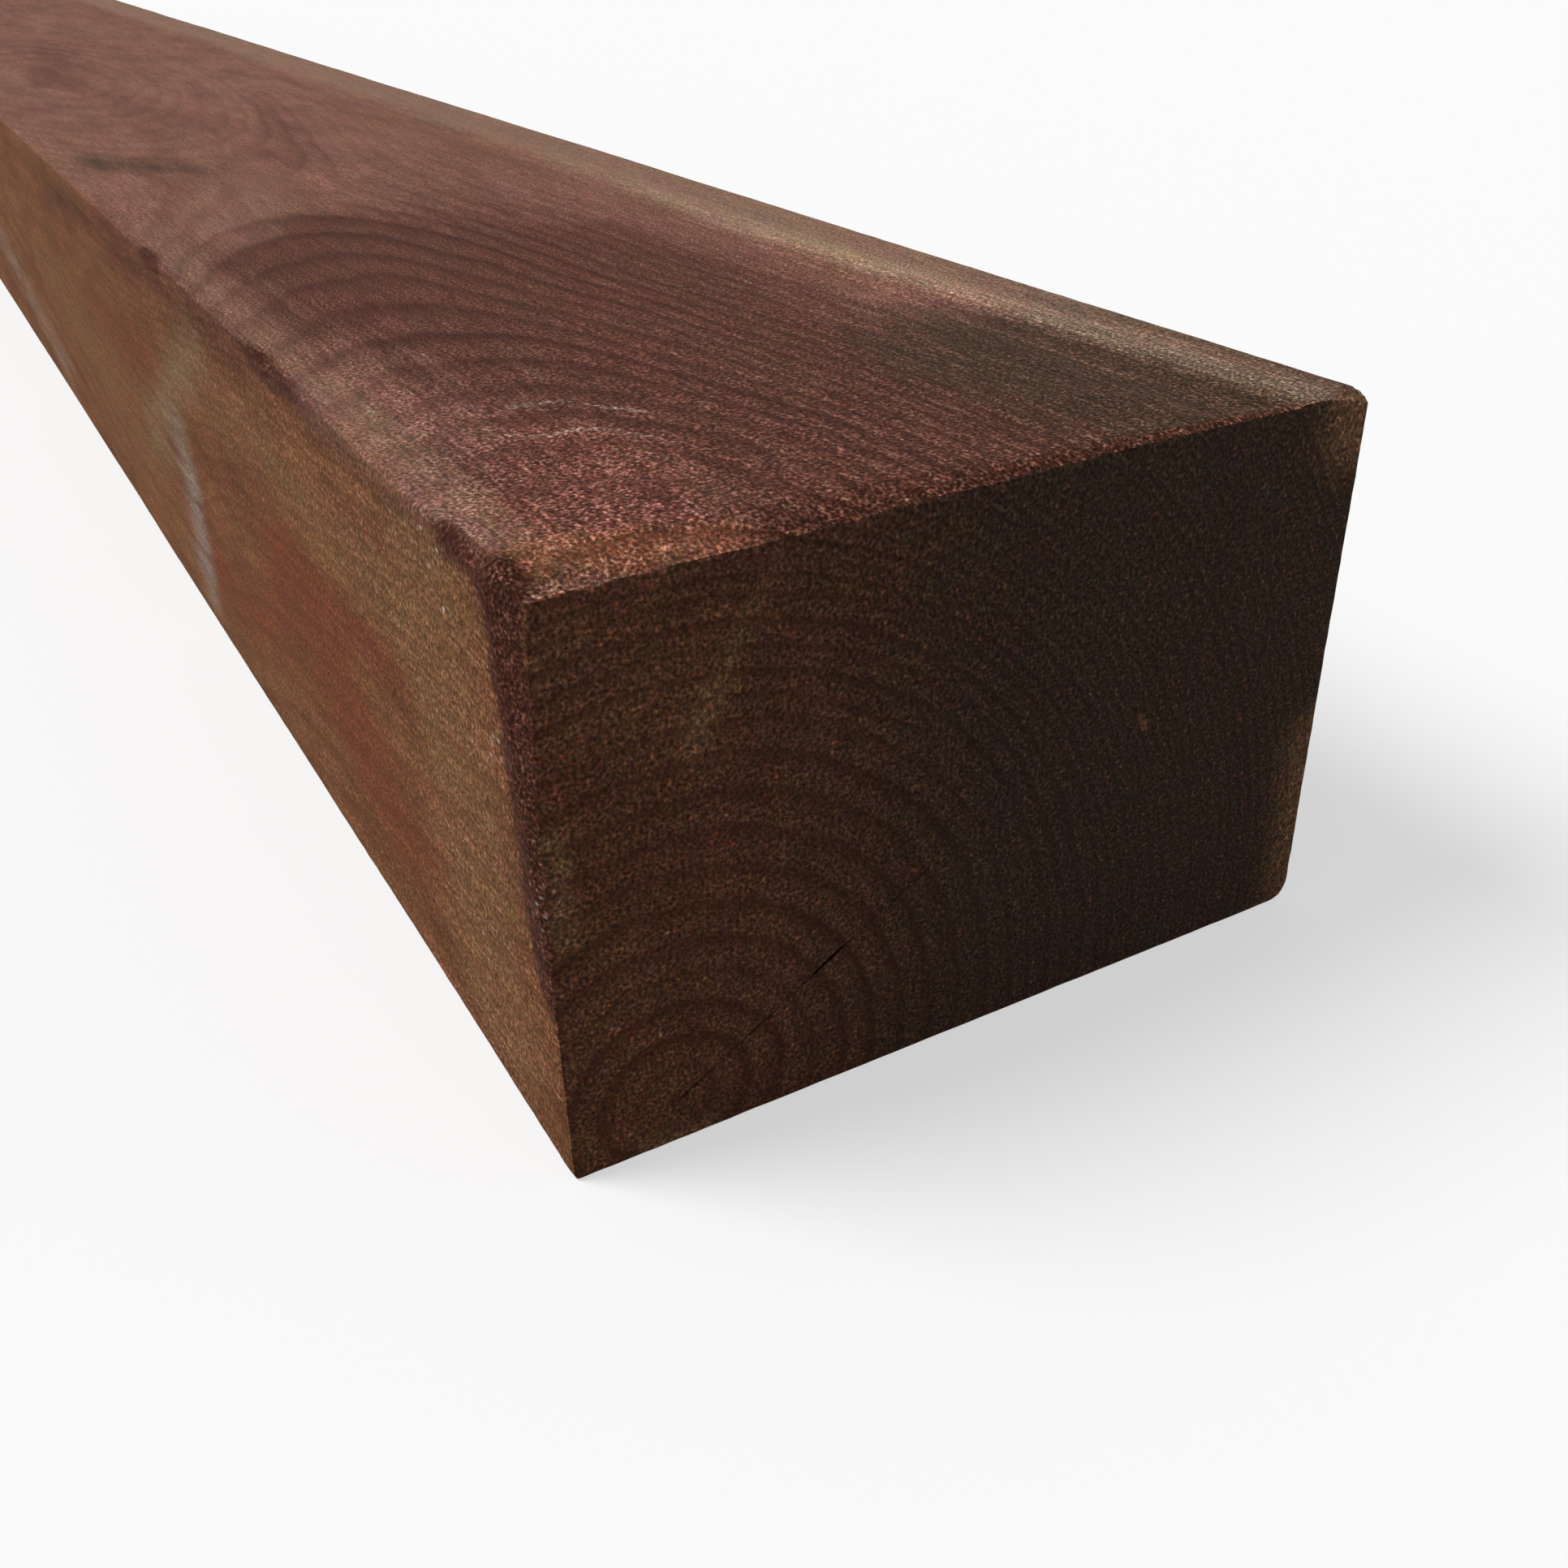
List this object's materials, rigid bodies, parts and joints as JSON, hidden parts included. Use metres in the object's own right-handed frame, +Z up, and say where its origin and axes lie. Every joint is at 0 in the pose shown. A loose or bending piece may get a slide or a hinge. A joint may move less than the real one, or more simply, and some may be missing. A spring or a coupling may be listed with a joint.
{
  "type": "railway sleeper",
  "caption": "Long sawn timber sleeper of rectangular section, brown pressure-treated softwood, with eased arrises, a worn end corner and a radial shake in the end grain.",
  "frame": {"origin": "middle of the underside, on the floor that the sleeper lies on", "axes": "+X along the length towards the worn end, +Y across the width from the near side to the far side, +Z up"},
  "size_m": [2.4, 0.15, 0.1],
  "materials": {
    "treated_softwood": "rough sawn, brown pressure-treated softwood, matt, darker on the end grain"
  },
  "bodies": {
    "root": {"sleeper": "treated_softwood"}
  },
  "joints": []
}
